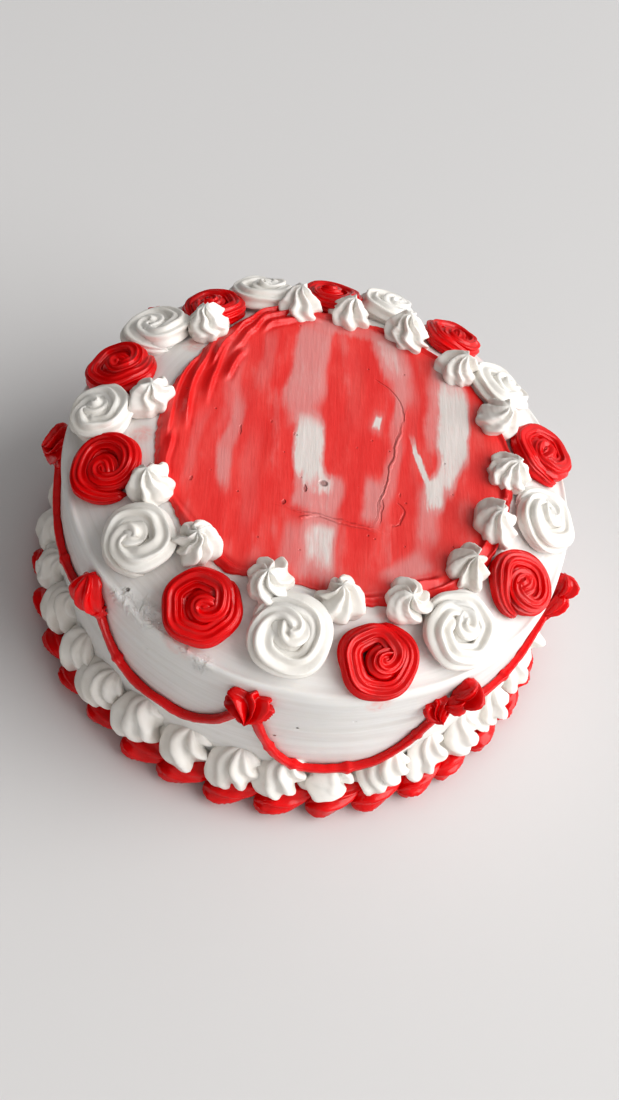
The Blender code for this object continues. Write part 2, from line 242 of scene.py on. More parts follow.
def objectCoords(tree, scale=(1, 1, 1), turn=0.0):
    # turned first, then scaled
    coords = addNode(tree, "ShaderNodeTexCoord").outputs["Object"]
    turned = addNode(tree, "ShaderNodeMapping", {"Vector": coords, "Rotation": (0, 0, turn)}).outputs[0]
    return addNode(tree, "ShaderNodeMapping", {"Vector": turned, "Scale": scale}).outputs[0]


def noiseOf(tree, vector, scale, detail=3.0, rough=0.5, distort=0.0):
    return addNode(tree, "ShaderNodeTexNoise", {
        "Vector": vector, "Scale": scale, "Detail": detail, "Roughness": rough,
        "Distortion": distort}).outputs["Fac"]


def math2(tree, operation, a, b=0.0, c=0.0, clamp=False):
    return addNode(tree, "ShaderNodeMath", {0: a, 1: b, 2: c}, operation=operation,
                   use_clamp=clamp).outputs[0]


def times(tree, a, b):
    return math2(tree, "MULTIPLY", a, b)


def largest(tree, values):
    most = values[0]
    for value in values[1:]:
        most = math2(tree, "MAXIMUM", most, value)
    return most


def joined(tree, x, y, z=0.0):
    return addNode(tree, "ShaderNodeCombineXYZ", {0: x, 1: y, 2: z}).outputs[0]


def mapRange(tree, value, low, high, toLow=0.0, toHigh=1.0):
    return addNode(tree, "ShaderNodeMapRange", {
        "Value": value, "From Min": low, "From Max": high, "To Min": toLow, "To Max": toHigh},
        interpolation_type="SMOOTHSTEP").outputs["Result"]


def mixColour(tree, factor, a, b):
    node = tree.nodes.new("ShaderNodeMix")
    node.data_type = "RGBA"
    for key, value in ((0, factor), (6, a), (7, b)):
        if isinstance(value, bpy.types.NodeSocket):
            tree.links.new(value, node.inputs[key])
        elif key:
            node.inputs[key].default_value = (*value, 1.0)
        else:
            node.inputs[key].default_value = value
    return node.outputs[2]


def bumpOf(tree, height, strength, distance, normal=None):
    inputs = {"Height": height, "Strength": strength, "Distance": distance}
    if normal is not None:
        inputs["Normal"] = normal
    return addNode(tree, "ShaderNodeBump", inputs).outputs["Normal"]


icingLook = {
    "white": (0.85, 0.835, 0.80),
    "whiteShade": (0.79, 0.765, 0.72),
    "whiteRoughness": 0.46,
    "spread": (0.80, 0.795, 0.785),
    "spreadShade": (0.73, 0.72, 0.70),
    # azimuth, distance from the middle, height, size in mm
    "tornSpots": ((242, 103, 86.5, 10), (236, 103.5, 85, 7), (247, 101, 87, 6), (258, 104, 82, 6),
                  (253, 103, 85.5, 4)),
    "bubbles": ((235.6, 99.5, 85.5, 1.0), (272, 104.8, 66, 0.9), (280, 105, 60, 0.7), (276, 105, 50, 0.8)),
    "bubble": (0.12, 0.09, 0.07),
    "stains": ((252, 101, 86, 9), (266, 78, 96, 6), (246, 77, 95, 6), (300, 78, 95, 7), (318, 80, 94, 7),
               (295, 106, 80, 7), (152, 75, 95, 7), (30, 80, 94, 7), (195, 74, 96, 6)),
    "stain": (0.80, 0.42, 0.39),
    "red": (0.76, 0.001, 0.003),
    "redDeep": (0.58, 0.001, 0.002),
    "redRoughness": 0.17,
    "redGloss": 0.42,
    "pits": 0.00012,
}


def pipedIcing(name, colour, shade, roughness, scatter):
    material, tree, shader = newMaterial(name, colour, roughness, **{
        "Subsurface Weight": 0.25, "Subsurface Radius": scatter, "Subsurface Scale": 0.003})
    soft = noiseOf(tree, objectCoords(tree), 70.0, 3.0)
    tint = mixColour(tree, mapRange(tree, soft, 0.35, 0.65), shade, colour)
    tree.links.new(tint, shader.inputs["Base Color"])
    grain = noiseOf(tree, objectCoords(tree), 900.0, 2.0)
    pits = addNode(tree, "ShaderNodeTexVoronoi", {"Vector": objectCoords(tree), "Scale": 260.0})
    pit = mapRange(tree, pits.outputs["Distance"], 0.05, 0.22)
    height = math2(tree, "ADD", times(tree, grain, 0.5), times(tree, pit, 0.5))
    tree.links.new(bumpOf(tree, height, 0.5, icingLook["pits"]), shader.inputs["Normal"])
    rough = noiseOf(tree, objectCoords(tree), 220.0, 2.0)
    tree.links.new(mapRange(tree, rough, 0.3, 0.7, roughness - 0.05, roughness + 0.08),
                   shader.inputs["Roughness"])
    return material


def nearSpots(tree, coords, spots):
    # 1 at the middle of any of the spots (azimuth, distance, height, size in mm), 0 outside them
    near = []
    for degrees, distance, height, size in spots:
        middle = polar(distance / 1000, degrees, height / 1000)
        away = addNode(tree, "ShaderNodeVectorMath", {0: coords, 1: middle}, operation="DISTANCE")
        near.append(mapRange(tree, away.outputs["Value"], size / 1000, 0.35 * size / 1000))
    return largest(tree, near)


def bodyIcing():
    look = icingLook
    material, tree, shader = newMaterial("spreadWhiteIcing", look["spread"], look["whiteRoughness"], **{
        "Subsurface Weight": 0.15, "Subsurface Radius": (1.0, 0.8, 0.6), "Subsurface Scale": 0.003})
    plain = objectCoords(tree)
    xyz = addNode(tree, "ShaderNodeSeparateXYZ", {"Vector": plain})
    squares = [times(tree, axis, axis) for axis in xyz.outputs[:2]]
    outwards = math2(tree, "SQRT", math2(tree, "ADD", *squares))
    climb = math2(tree, "SUBTRACT", xyz.outputs[2], times(tree, outwards, 0.6))
    # knife strokes run round the cake: slow change along them, quick change across
    slow = [times(tree, axis, 0.035) for axis in xyz.outputs[:2]]
    stroke = joined(tree, *slow, climb)
    fine = noiseOf(tree, stroke, 1500.0, 3.0, 0.6)
    wide = noiseOf(tree, stroke, 260.0, 3.0, 0.55, 0.4)
    cloud = noiseOf(tree, plain, 28.0, 3.0)
    tint = mixColour(tree, mapRange(tree, wide, 0.3, 0.62), look["spreadShade"], look["spread"])
    tint = mixColour(tree, mapRange(tree, cloud, 0.30, 0.75, 0.0, 0.35), tint, look["spreadShade"])
    height = math2(tree, "ADD", times(tree, fine, 0.25), times(tree, wide, 0.75))
    normal = bumpOf(tree, height, 0.5, 0.0006)
    pits = addNode(tree, "ShaderNodeTexVoronoi", {"Vector": plain, "Scale": 75.0})
    normal = bumpOf(tree, mapRange(tree, pits.outputs["Distance"], 0.02, 0.07), 0.6, 0.0004, normal)
    ragged = noiseOf(tree, plain, 210.0, 4.0, 0.6, 1.2)
    torn = nearSpots(tree, plain, look["tornSpots"])
    height = times(tree, torn, mapRange(tree, ragged, 0.35, 0.62))
    normal = bumpOf(tree, height, 0.8, 0.0007, normal)
    bubble = nearSpots(tree, plain, look["bubbles"])
    normal = bumpOf(tree, times(tree, bubble, -1.0), 1.0, 0.0010, normal)
    tree.links.new(normal, shader.inputs["Normal"])
    blurred = mapRange(tree, ragged, 0.30, 0.70, 0.1, 0.75)
    stain = times(tree, nearSpots(tree, plain, look["stains"]), blurred)
    tint = mixColour(tree, stain, tint, look["stain"])
    tint = mixColour(tree, times(tree, bubble, 0.75), tint, look["bubble"])
    tree.links.new(tint, shader.inputs["Base Color"])
    return material


# smear of red icing: where the white shows through, and its cracks and burst bubbles with painted shade in
# them
smearLook = {
    "red": (0.80, 0.062, 0.053),
    "redDeep": (0.75, 0.036, 0.032),
    "rim": (0.66, 0.010, 0.010),
    "pink": (0.72, 0.26, 0.25),
    "white": (0.72, 0.66, 0.635),
    # a near-black red painted into the cracks, burst bubbles and pores as the shade inside them
    "hollowShade": (0.22, 0.03, 0.03),
    "streakTurn": 12.0,  # the knife went this far left of straight back
    # place in mm, half width, half length, turn left of straight back, how white, softness
    "streaks": (
        (-17.8, 41, 8.8, 26, 4, 0.60, 0.40), (-16.5, 14, 7.0, 13, 12, 0.34, 0.8),
        (-8.4, -5, 7.0, 18, 12, 1.0, 0.40), (-11.5, 6, 6.0, 10, 12, 0.50, 0.6),
        (0.5, -24, 9.5, 11, 2, 0.58, 0.5), (1.5, -19, 3.6, 5, 0, 0.55, 0.8),
        (7.2, -49, 7.4, 17, 4, 0.64, 0.6), (7.5, -46, 5.6, 10, 0, 0.55, 0.8),
        (-3, -52, 6, 15, 4, 0.34, 0.9), (13.5, 57, 6.5, 14, 20, 0.56, 1.0),
        (17, 50, 7, 20, 22, 0.34, 0.9), (22, 36, 3, 17, 14, 0.30, 0.9),
        (41, 48, 7.4, 17, 16, 0.84, 0.6), (46.4, 28, 6.4, 20, 8, 0.94, 0.5),
        (48.2, 7, 4.8, 17, -4, 0.88, 0.7), (38, 33, 5, 24, 14, 0.38, 0.9),
        (37, 5, 1.7, 13, 30, 1.0, 0.6), (44.5, -8, 4.4, 9, 6, 0.88, 0.8),
        (43.5, -21, 5.5, 17, 6, 0.40, 0.9), (25.5, 5, 3.4, 38, 4, 0.34, 0.8),
        (21.5, -21, 4.6, 13, 6, 0.55, 0.9), (41, -48, 7, 12, -35, 0.46, 0.9),
        (-38, -12, 3.2, 26, 8, 0.34, 0.7), (-37, -26, 3.0, 10, 8, 0.28, 0.9),
        (-46, 20, 4.5, 30, 8, 0.20, 0.8), (-35, 36, 3.6, 20, 10, 0.20, 0.9),
        (-8, 67, 26, 5.0, 0, 0.30, 0.9), (15.6, 19, 1.9, 4.0, 0, 1.0, 0.5),
        (15.6, 19, 4.5, 9, 0, 0.25, 0.9), (-50, -20, 3, 24, 6, 0.18, 0.9),
        (-42, 6, 13, 50, 8, 0.08, 0.9), (2, 34, 5, 30, 12, 0.10, 0.9), (31, 20, 3, 34, 10, 0.12, 0.9),
        (-26, -30, 4, 30, 8, 0.14, 0.9),
    ),
    # the same, but with a depth at the end, which sets both the painted shade and the bump: burst bubbles,
    # then the straight parts of cracks
    "hollows": (
        (1.4, -19.0, 1.8, 1.5, 0, 1.0), (-4.8, -24, 0.8, 1.7, 10, 0.9), (-11, -33.4, 0.8, 1.5, 10, 0.8),
        (-36, -5, 0.6, 2.4, 4, 0.5), (-47.4, -35, 0.7, 1.5, 8, 0.6), (-15.6, 1, 0.5, 0.9, 0, 0.4),
        (-25, 3.4, 0.5, 0.9, 0, 0.3), (10.5, 3, 0.4, 0.7, 0, 0.3), (31.5, -14, 0.4, 1.2, 0, 0.3),
        (24.4, -5, 0.30, 25, -1, 0.32), (26.0, -24, 0.45, 6, 4, 0.6), (13, -35.5, 13, 0.30, 3, 0.22),
    ),
    # arcs of cracks: middle, radius, the box that they run in, and depth of the painted shade and bump
    "arcs": ((5.5, 22.0, 20.5, 10, 30, 21, 46, 0.45), (29.0, -23.5, 6.0, 31, 40, -31, -16, 0.45)),
    # smooth ridges pushed up beside them, with a height at the end
    "ridges": ((9, -34.6, 19, 0.9, 3, 0.8), (25.6, 0, 0.6, 28, -1, 0.6), (-1, -36.6, 3.2, 0.7, 30, 0.7)),
}


def onPatch(tree, coords, x, y, halfWidth, halfLength, turn):
    # coordinates that run from -1 to 1 across and along a patch of the top
    angle = math.radians(turn)
    shift = Matrix.Rotation(-angle, 2) @ Vector((x, y))
    placed = addNode(tree, "ShaderNodeMapping", {
        "Vector": coords, "Rotation": (0, 0, -angle), "Location": (-shift.x, -shift.y, 0)}).outputs[0]
    return addNode(tree, "ShaderNodeMapping", {
        "Vector": placed, "Scale": (1 / halfWidth, 1 / halfLength, 0)}).outputs[0]


def oval(tree, coords, x, y, halfWidth, halfLength, turn, soft):
    # 1 inside an ellipse, falling to 0 over its soft edge
    sized = onPatch(tree, coords, x, y, halfWidth, halfLength, turn)
    away = addNode(tree, "ShaderNodeVectorMath", {0: sized}, operation="LENGTH").outputs["Value"]
    return mapRange(tree, away, 1.0 + 0.35 * soft, 1.0 - 0.75 * soft)


def streak(tree, coords, x, y, halfWidth, halfLength, turn, soft):
    # a stroke with firmer sides and ends that fade out
    parts = addNode(tree, "ShaderNodeSeparateXYZ", {
        "Vector": onPatch(tree, coords, x, y, halfWidth, halfLength, turn)})
    sides = mapRange(tree, math2(tree, "ABSOLUTE", parts.outputs[0]), 1 + 0.35 * soft, 1 - 0.75 * soft)
    ends = mapRange(tree, math2(tree, "ABSOLUTE", parts.outputs[1]), 1.25, 0.45)
    return times(tree, sides, ends)


def smearedIcing():
    look = smearLook
    material, tree, shader = newMaterial("smearedRedIcing", look["red"], 0.36, **{
        "Subsurface Weight": 0.1, "Subsurface Radius": (1.0, 0.3, 0.25), "Subsurface Scale": 0.002})
    turn = -math.radians(look["streakTurn"])
    strokes = objectCoords(tree, scale=(1.0, 0.10, 0.2), turn=turn)
    broad = noiseOf(tree, strokes, 160.0, 3.0, 0.6)
    fine = noiseOf(tree, strokes, 900.0, 3.0, 0.65)
    blotch = noiseOf(tree, objectCoords(tree, scale=(1.0, 0.45, 0.2), turn=turn), 85.0, 4.0, 0.6)
    # millimetres on the top, pushed about so that the patches have torn ends and wavering sides
    inMm = objectCoords(tree, scale=(1000, 1000, 0))
    xyz = addNode(tree, "ShaderNodeSeparateXYZ", {"Vector": inMm})
    slow = noiseOf(tree, objectCoords(tree), 30.0, 1.0)
    aside = math2(tree, "MULTIPLY_ADD", broad, 4.0, math2(tree, "MULTIPLY_ADD", blotch, 4.0, math2(
        tree, "MULTIPLY_ADD", slow, 8.0, -8.0)))
    ahead = math2(tree, "MULTIPLY_ADD", fine, 5.0, math2(tree, "MULTIPLY_ADD", blotch, 10.0, -7.5))
    coords = joined(tree, math2(tree, "ADD", xyz.outputs[0], aside),
                    math2(tree, "ADD", xyz.outputs[1], ahead))
    covered = 1.0
    for *patch, strength, soft in look["streaks"]:
        bare = math2(tree, "MULTIPLY_ADD", streak(tree, coords, *patch, soft), -strength, 1)
        covered = times(tree, covered, bare)
    white = math2(tree, "SUBTRACT", 1, covered)
    grain = math2(tree, "MULTIPLY_ADD", blotch, 0.7, math2(tree, "MULTIPLY_ADD", fine, 0.4, -0.55))
    worn = math2(tree, "MULTIPLY_ADD", grain, white, white, clamp=True)
    veil = math2(tree, "MULTIPLY_ADD", broad, 0.5, times(tree, blotch, 0.5))
    worn = math2(tree, "MAXIMUM", worn, mapRange(tree, veil, 0.46, 0.68, 0.0, 0.24))
    red = mixColour(tree, mapRange(tree, blotch, 0.35, 0.65), look["redDeep"], look["red"])
    pinked = mixColour(tree, mapRange(tree, worn, 0.0, 0.55), red, look["pink"])
    tint = mixColour(tree, mapRange(tree, worn, 0.55, 0.98), pinked, look["white"])
    # thick icing pushed up at the rim stays a deeper red
    rim = addNode(tree, "ShaderNodeAttribute", attribute_name="thick").outputs["Fac"]
    tint = mixColour(tree, rim, tint, look["rim"])
    # holes and cracks, on lines that waver a little, and pores: their shade is painted into the colour, and
    # the same mask presses them in by bump
    small = noiseOf(tree, objectCoords(tree), 150.0, 3.0)
    shake = joined(tree, math2(tree, "MULTIPLY_ADD", small, 4.0, -2.0),
                   math2(tree, "MULTIPLY_ADD", small, -3.2, 1.6))
    shaken = addNode(tree, "ShaderNodeVectorMath", {0: shake, 1: inMm}, operation="ADD").outputs[0]
    cuts = []
    for *patch, depth in look["hollows"]:
        within = inMm if min(patch[2:4]) > 1 else shaken
        cuts.append(times(tree, oval(tree, within, *patch, 0.6), depth))
    for x, y, radius, left, right, front, back, depth in look["arcs"]:
        centred = addNode(tree, "ShaderNodeMapping", {"Vector": shaken, "Location": (-x, -y, 0)}).outputs[0]
        away = addNode(tree, "ShaderNodeVectorMath", {0: centred}, operation="LENGTH").outputs["Value"]
        line = mapRange(tree, math2(tree, "ABSOLUTE", math2(tree, "SUBTRACT", away, radius)), 0.6, 0.1)
        middle = ((left + right) / 2, (front + back) / 2)
        box = streak(tree, inMm, *middle, (right - left) / 2, (back - front) / 2, 0, 0.2)
        cuts.append(times(tree, times(tree, line, box), depth))
    flat = objectCoords(tree, scale=(1, 1, 0))
    pores = addNode(tree, "ShaderNodeTexVoronoi", {"Vector": flat, "Scale": 125.0})
    cuts.append(mapRange(tree, pores.outputs["Distance"], 0.075, 0.035, 0.0, 0.45))
    hollowDepthAndShade = largest(tree, cuts)
    # painted shade: the cracks, holes and pores get a near-black red in the colour
    tint = mixColour(tree, times(tree, hollowDepthAndShade, 0.62), tint, look["hollowShade"])
    tree.links.new(tint, shader.inputs["Base Color"])
    raised = largest(tree, [times(tree, oval(tree, shaken, *patch, 0.9), tall)
                            for *patch, tall in look["ridges"]])
    height = math2(tree, "MULTIPLY_ADD", broad, 0.55, math2(tree, "MULTIPLY_ADD", fine, 0.25, math2(
        tree, "MULTIPLY", blotch, 0.5)))
    normal = bumpOf(tree, height, 0.7, 0.0008)
    cut = math2(tree, "SUBTRACT", raised, hollowDepthAndShade)
    tree.links.new(bumpOf(tree, cut, 0.9, 0.0007, normal), shader.inputs["Normal"])
    return material


def makeMaterials():
    look = icingLook
    white = pipedIcing("pipedWhiteIcing", look["white"], look["whiteShade"], look["whiteRoughness"],
                       (1.0, 0.95, 0.9))
    red = pipedIcing("pipedRedIcing", look["red"], look["redDeep"], look["redRoughness"], (1.0, 0.05, 0.05))
    red.node_tree.nodes["Principled BSDF"].inputs["Specular IOR Level"].default_value = look["redGloss"]
    return white, red, bodyIcing(), smearedIcing()


pipedWhite, pipedRed, spreadWhite, smearedRed = makeMaterials()
print("icing materials made")

# body of the cake: turned profile, then the unevenness of hand-spread icing
bodyShape = {
    "steps": 400,
    "sideRings": 40,
    "wave": 0.0007,
    "stroke": 0.00035,
    "lip": 0.0014,  # icing left standing along the edge
    "tornAt": (-0.0465, -0.0945, 0.088),  # torn icing on the front left of the shoulder
    "tornSize": 0.015,
    "tornRise": 0.0034,
    "tornGrain": 0.0005,
}


def makeBody():
    edgeZ = topHeight(cake["edgeRadius"])
    rounding = cake["radius"] - cake["edgeRadius"]
    profile = [(0.0, 0.0), (0.05, 0.0), (0.085, 0.0), (cake["radius"] - 0.001, 0.0)]
    wall = edgeZ - cake["edgeDrop"]
    profile += [(cake["radius"], 0.0005 + (wall - 0.0005) * k / bodyShape["sideRings"])
                for k in range(bodyShape["sideRings"] + 1)]
    for k in range(1, 7):
        angle = math.pi / 2 * k / 7
        inward = rounding * (1 - math.cos(angle))
        profile.append((cake["radius"] - inward, wall + cake["edgeDrop"] * math.sin(angle)))
    for k in range(42):
        radius = cake["edgeRadius"] - 0.0010 * k
        profile.append((radius, topHeight(radius)))
    profile += [(0.045, cake["height"]), (0.02, cake["height"]), (0.0, cake["height"])]
    bm = bmesh.new()
    line = [bm.verts.new((r, 0.0, z)) for r, z in profile]
    edges = [bm.edges.new(pair) for pair in zip(line, line[1:])]
    bmesh.ops.spin(bm, geom=line + edges, axis=(0, 0, 1), cent=(0, 0, 0), steps=bodyShape["steps"],
                   angle=math.tau, use_merge=True)
    bmesh.ops.remove_doubles(bm, verts=bm.verts, dist=1e-5)
    tornAt = Vector(bodyShape["tornAt"])
    for vert in bm.verts:
        at = vert.co.copy()
        if at.z < 0.001:
            continue
        radius = math.hypot(at.x, at.y)
        outward = Vector((at.x, at.y, 0)).normalized() if radius > 1e-6 else Vector((0, 0, 1))
        around = Vector((at.x * 18, at.y * 18, (at.z - 0.6 * radius) * 420))
        push = noise.noise(at * 35) * bodyShape["wave"] + noise.noise(around) * bodyShape["stroke"]
        lip = math.exp(-((radius - cake["edgeRadius"] - 0.0022) / 0.0011) ** 2) * (at.z > 0.075)
        lip *= 0.55 + 0.9 * noise.noise(at * 45)
        torn = max(0.0, 1 - (at - tornAt).length / bodyShape["tornSize"])
        grain = noise.noise(at * 600) * bodyShape["tornGrain"]
        torn *= abs(noise.noise(at * 240)) * bodyShape["tornRise"] + grain
        if radius > 0.07:
            vert.co = at + outward * push + Vector((0, 0, 1)) * (bodyShape["lip"] * max(lip, 0.0) + torn)
        else:
            vert.co = at + Vector((0, 0, push))
    finishPiece("iced_body", bm, spreadWhite, "iced_cake", slot="white_icing")


makeBody()
print("body made")

# red icing spread over the flat top
smearShape = {
    # azimuth and mm from the middle
    "reach": (
        (0, 75.5), (14, 77), (30, 76), (60, 76), (92, 74.5), (104, 77), (113, 80), (124, 79.5), (133, 75),
        (142, 72), (160, 68), (180, 67.5), (198, 69), (210, 71), (228, 70.5), (240, 71), (251, 73),
        (262, 70), (272, 66.5), (282, 68), (292, 73), (304, 74), (311, 75), (318, 77), (326, 78),
        (337, 78), (350, 76.5),
    ),
    "thickness": 0.0016,
    "segments": 720,
    "rings": 100,
    "finer": 1.35,  # rings crowd towards the rim
    # folds pushed up by the knife: azimuth, half spread, mm from the rim, slant in mm a degree,
    # height in mm, share of the distance from the rim lost at both ends
    "folds": (
        (176, 28, 2.4, 0.10, 2.4, 0.1), (168, 26, 6.4, 0.22, 3.0, 0.1), (158, 22, 10.8, 0.26, 2.0, 0.1),
        (143, 20, 4.4, 0.24, 2.6, 0.1), (182, 13, 9.8, 0.14, 1.8, 0.1), (150, 12, 15.6, 0.10, 1.4, 0.1),
        (133, 16, 8.4, 0.22, 2.2, 0.1), (205, 14, 5.4, -0.16, 1.2, 0.2), (126, 18, 2.6, 0.10, 2.6, 0.1),
        (118, 15, 6.6, 0.14, 2.4, 0.1), (118, 13, 11.0, 0.14, 1.9, 0.1), (104, 12, 4.0, 0.05, 1.4, 0.2),
        (352, 25, 1.8, 0.03, 2.4, 0.0), (346, 17, 5.4, -0.06, 1.9, 0.2), (8, 13, 4.4, 0.10, 1.8, 0.2),
        (22, 19, 1.6, 0.0, 1.5, 0.0), (322, 11, 2.2, 0.05, 2.8, 0.0), (311, 11, 5.4, 0.18, 1.8, 0.2),
        (297, 12, 2.0, 0.1, 1.4, 0.0), (238, 25, 1.4, 0.0, 0.9, 0.0), (70, 25, 1.8, 0.0, 1.1, 0.0),
    ),
    "foldOuter": 4.4,  # mm from crest to foot on the rim side, and on the steeper inner side
    "foldInner": 1.2,
    "foldsReach": 23,  # no fold lies further in than this
    "wetMiddle": 8,  # a deeper red runs along the rim here, in degrees, so far either way, and so wide
    "wetSpread": 62,
    "wetWidth": 0.0062,
}


def rimReach(degrees, rough=1.0):
    marks = smearShape["reach"]
    degrees %= 360
    for k, (at, reach) in enumerate(marks):
        after, nextReach = marks[(k + 1) % len(marks)]
        after += 360 if after <= at else 0
        if at <= degrees <= after:
            base = reach + (nextReach - reach) * ease((degrees - at) / (after - at))
            break
    return (base + rough * (0.9 * waver(3, degrees, 0.11) + 0.35 * waver(4, degrees, 0.5))) / 1000


def smearLift(radius, degrees, reach):
    # height of the folds at a place, and how thick and red the icing is there
    inward = (rimReach(degrees, 0.0) - radius) * 1000
    lift, thick = 0.0, 0.0
    if inward > smearShape["foldsReach"]:
        return lift, thick
    for k, (at, spread, offset, slant, tall, closing) in enumerate(smearShape["folds"]):
        away = (degrees - at + 180) % 360 - 180
        if abs(away) > spread:
            continue
        full = ease((spread - abs(away)) / (0.55 * spread)) * (0.85 + 0.35 * waver(20 + k, degrees, 0.07))
        past = inward - offset * (1 - closing * (away / spread) ** 2) - slant * away
        past -= 0.9 * waver(40 + k, degrees, 0.045)
        wide = smearShape["foldInner"] if past > 0 else smearShape["foldOuter"]
        crest = max(0.0, 1 - abs(past) / wide)
        lift = max(lift, 1.3 * tall * full * crest**1.15)
        lift -= 0.35 * full * math.exp(-((past - 1.9) / 0.5) ** 2) * (lift < 0.3)
        thick = max(thick, full * ease(1.2 - abs(past + 0.8) / 4.6))
    return lift / 1000, thick


def makeSmear():
    segments, rings = smearShape["segments"], smearShape["rings"]
    turns = [360 * k / segments for k in range(segments)]
    reaches = [rimReach(d) for d in turns]
    bm = bmesh.new()
    thickness = smearShape["thickness"]

    def place(share, lift):
        ring = []
        for degrees, reach in zip(turns, reaches):
            radius = share * reach
            ring.append(polar(radius, degrees, topHeight(radius) + lift(radius, degrees, reach)))
        return ring

    def surface(radius, degrees, reach):
        at = polar(radius, degrees)
        stroke = noise.noise(Vector((at.x * 130, at.y * 14, 2.0))) * 0.00022
        broad = noise.noise(Vector((at.x * 38, at.y * 20, 5.0))) * 0.0004
        edge = ease((reach - radius) / 0.0018)
        return thickness * (0.45 + 0.55 * edge) + stroke + broad + smearLift(radius, degrees, reach)[0]

    stack = [place(0.9, lambda *a: -0.0012), place(1.0, lambda *a: -0.0006),
             place(1.004, lambda *a: thickness * 0.35 + smearLift(*a)[0] * 0.5)]
    stack += [place(1 - ((k + 0.15) / rings) ** smearShape["finer"], surface) for k in range(rings)]
    pipe(bm, stack, Vector((0, 0, cake["height"] - 0.0012)), Vector((0, 0, cake["height"] + thickness)))
    thickLayer = bm.verts.layers.float.new("thick")
    for vert in bm.verts:
        radius = math.hypot(vert.co.x, vert.co.y)
        degrees = math.degrees(math.atan2(vert.co.y, vert.co.x)) % 360
        reach = rimReach(degrees)
        away = abs((degrees - smearShape["wetMiddle"] + 180) % 360 - 180)
        wet = ease((smearShape["wetSpread"] - away) / 18)
        wet *= ease(1.35 - (reach - radius) / smearShape["wetWidth"])
        vert[thickLayer] = min(1.0, max(0.8 * wet, smearLift(min(radius, reach), degrees, reach)[1]))
    finishPiece("smeared_top", bm, smearedRed, "red_smear", slot="smeared_icing")


makeSmear()
print("smear made")

# rosettes: a rope of icing that starts with a curl across the middle and coils outwards
rosetteShape = {
    "stations": 190,
    "section": 66,
    "turns": 1.70,
    "rope": 0.0050,
    "sunk": -0.0008,  # height of the flat underside, just inside the icing
    "start": -0.0082,  # the rope starts this far on the other side of the middle, under the coil
    "under": 0.0032,
    "swell": ((0, 0.66), (0.08, 0.92), (0.22, 1.0), (1, 1.0)),  # of the rope along its length
    "spread": 0.965,  # of the given radius
    "curl": 1.50,  # how slowly it starts to turn
    "flatten": 2.3,  # how soon the coil reaches its full radius
    "rise": 0.0012,
    "tail": 0.10,  # share of the rope that thins out at its end
    "white": {"lobes": 7, "depth": 0.27, "sharp": 1.0, "patchy": 0.45, "uneven": 0.16, "twist": 0.35},
    "red": {"lobes": 11, "depth": 0.28, "sharp": 0.55, "patchy": 0.45, "uneven": 0.12, "twist": 0.08},
}


def makeRosette(number, degrees, distance, radius):
    shape = rosetteShape
    seat = seatOnTop(degrees, distance)
    colour = "white" if number % 2 else "red"
    star = shape[colour]
    rope = shape["rope"] * (1.08 if number % 2 else 0.98) * (1 + 0.05 * waver(number, 0.3))
    turns = shape["turns"] * (1 + 0.06 * waver(number, 5.1))
    first = number * 2.4 + 2 * waver(number, 9.7)
    outer = radius - rope
    count = shape["stations"]
    centres, sizes = [], []
    for k in range(count):
        t = k / (count - 1)
        angle = first + math.tau * turns * t ** shape["curl"]
        away = shape["start"] + (outer - shape["start"]) * (1 - (1 - t) ** shape["flatten"])
        corners = 0.030 * math.cos((4 + number % 3) * angle + number)
        away *= 1 + (0.06 * waver(number + 50, t * 11) + corners) * ease(t * 2)
        size = rope * along(shape["swell"], t) * (1 + 0.07 * waver(number + 90, t * 9))
        left = (1 - t) / shape["tail"]
        if left < 1:
            size *= 0.22 + 0.78 * math.sqrt(left)
            away += 0.0012 * (1 - left) ** 2
        high = size * 0.84 + shape["rise"] * (1 - 1.5 * ease(t / 0.8) + 0.35 * waver(number + 70, t * 8))
        high -= shape["under"] * (1 - ease(t / 0.16))
        centres.append(Vector((away * math.cos(angle), away * math.sin(angle), high)))
        sizes.append(size)
    # the last turn decides how wide it comes out and where its middle is
    lastTurn = int(count * ((turns - 1) / turns) ** (1 / shape["curl"]))
    last = [c for c in centres[lastTurn:] if c.length > 0.5 * outer]
    low = Vector((min(c.x for c in last), min(c.y for c in last), 0))
    far = Vector((max(c.x for c in last), max(c.y for c in last), 0))
    grow = (radius * shape["spread"] - rope * 0.94) * 4 / (far.x - low.x + far.y - low.y)
    for centre in centres:
        centre.xy = (centre.xy - (low.xy + far.xy) / 2) * grow
    rings = []
    for k, (centre, size) in enumerate(zip(centres, sizes)):
        run = centres[min(k + 1, count - 1)] - centres[max(k - 1, 0)]
        side = run.cross(Vector((0, 0, 1))).normalized()
        up = side.cross(run).normalized()
        shares = crested(shape["section"], star, star["twist"] * math.tau * turns * k / count, number * 3.7)
        ring = ringAround(centre, side, up * 0.96, [size * share for share in shares])
        for point in ring:
            point.z = max(point.z, shape["sunk"])
        rings.append([seat @ point for point in ring])
    bm = bmesh.new()
    pipe(bm, rings, seat @ (centres[0] * 1.25 - centres[1] * 0.25),
         seat @ (centres[-1] * 3 - centres[-2] * 2))
    finishPiece(f"coil_{colour}_{number:02d}", bm, pipedWhite if number % 2 else pipedRed,
                f"rosette_{colour}_{number:02d}", slot=f"{colour}_icing")


for number, rosette in enumerate(rosettes, 1):
    makeRosette(number, *rosette)
print("rosettes made")

